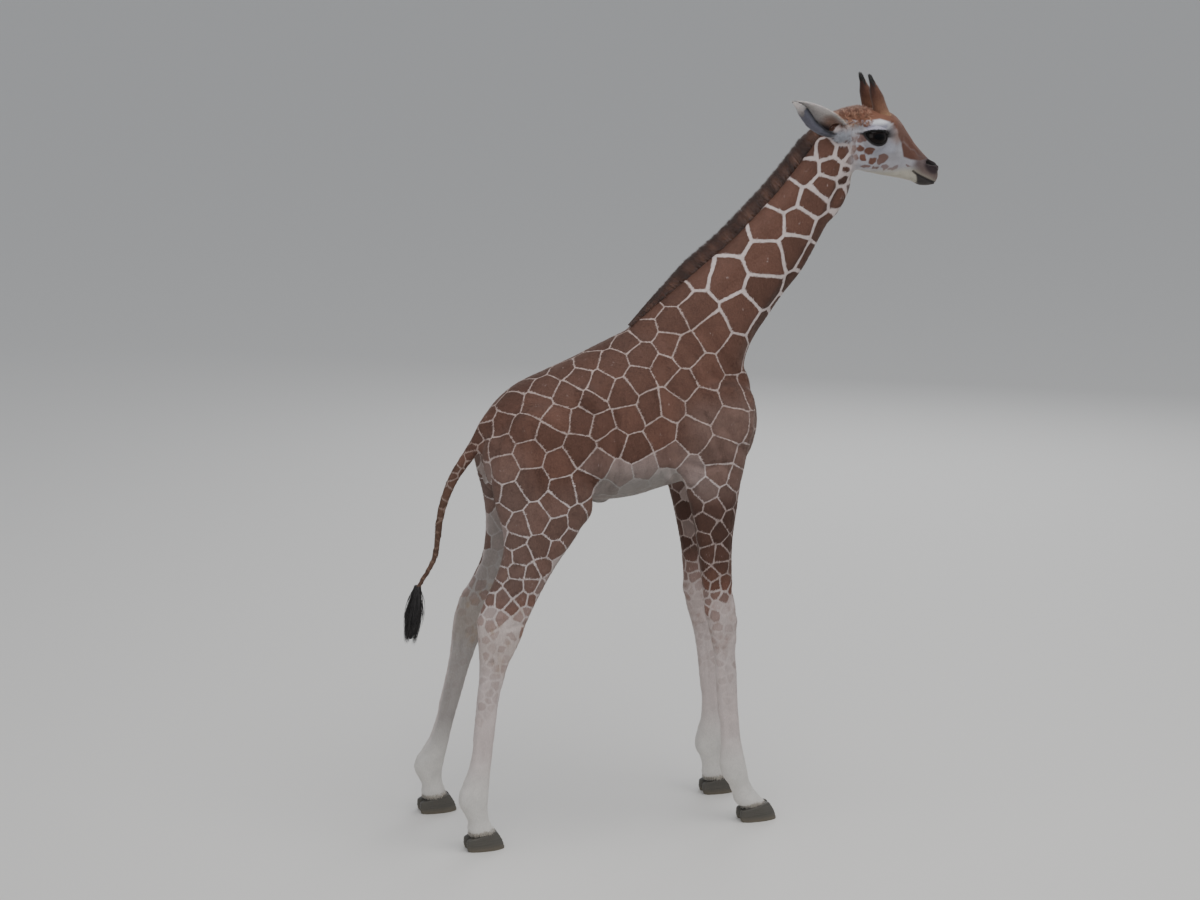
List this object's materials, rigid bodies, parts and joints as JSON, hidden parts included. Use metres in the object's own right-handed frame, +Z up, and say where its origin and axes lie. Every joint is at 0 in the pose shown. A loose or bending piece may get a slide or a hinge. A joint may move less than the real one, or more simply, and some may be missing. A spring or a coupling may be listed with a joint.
{
  "type": "reticulated giraffe calf model",
  "caption": "Life-size still model of a young reticulated giraffe standing with its hind legs set back and its head held level, for a natural history display.",
  "frame": {"origin": "on the floor, at the middle of the bounding box of the standing animal", "axes": "+X towards the head, +Y towards the animal's left side, +Z up"},
  "size_m": [1.5747, 0.4144, 2.1075],
  "materials": {
    "coat": "short dense hair, chestnut polygons parted by narrow cream lines",
    "pale_coat": "short dense pale hair",
    "black_hair": "long coarse hair, satin",
    "mane_hair": "short upright coarse hair",
    "eye": "wet gloss",
    "hoof_horn": "dull grey horn",
    "ossicone_coat": "short dense orange-brown hair"
  },
  "bodies": {
    "root": {"trunk": "coat", "neck": "coat", "head": "coat", "jaw": "coat", "tail": "coat", "tail_tuft": "black_hair", "mane": "mane_hair", "ear_left": "pale_coat", "ear_right": "pale_coat", "eye_left": "eye", "eye_right": "eye", "ossicone_left": "ossicone_coat", "ossicone_right": "ossicone_coat", "ossicone_tuft_left": "black_hair", "ossicone_tuft_right": "black_hair", "shoulder_left": "coat", "thigh_left": "coat", "forearm_left": "coat", "gaskin_left": "coat", "cannon_fore_left": "pale_coat", "pastern_fore_left": "pale_coat", "hoof_fore_left_inner": "hoof_horn", "hoof_fore_left_outer": "hoof_horn", "cannon_hind_left": "pale_coat", "pastern_hind_left": "pale_coat", "hoof_hind_left_inner": "hoof_horn", "hoof_hind_left_outer": "hoof_horn", "shoulder_right": "coat", "thigh_right": "coat", "forearm_right": "coat", "gaskin_right": "coat", "cannon_fore_right": "pale_coat", "pastern_fore_right": "pale_coat", "hoof_fore_right_inner": "hoof_horn", "hoof_fore_right_outer": "hoof_horn", "cannon_hind_right": "pale_coat", "pastern_hind_right": "pale_coat", "hoof_hind_right_inner": "hoof_horn", "hoof_hind_right_outer": "hoof_horn"}
  },
  "joints": []
}
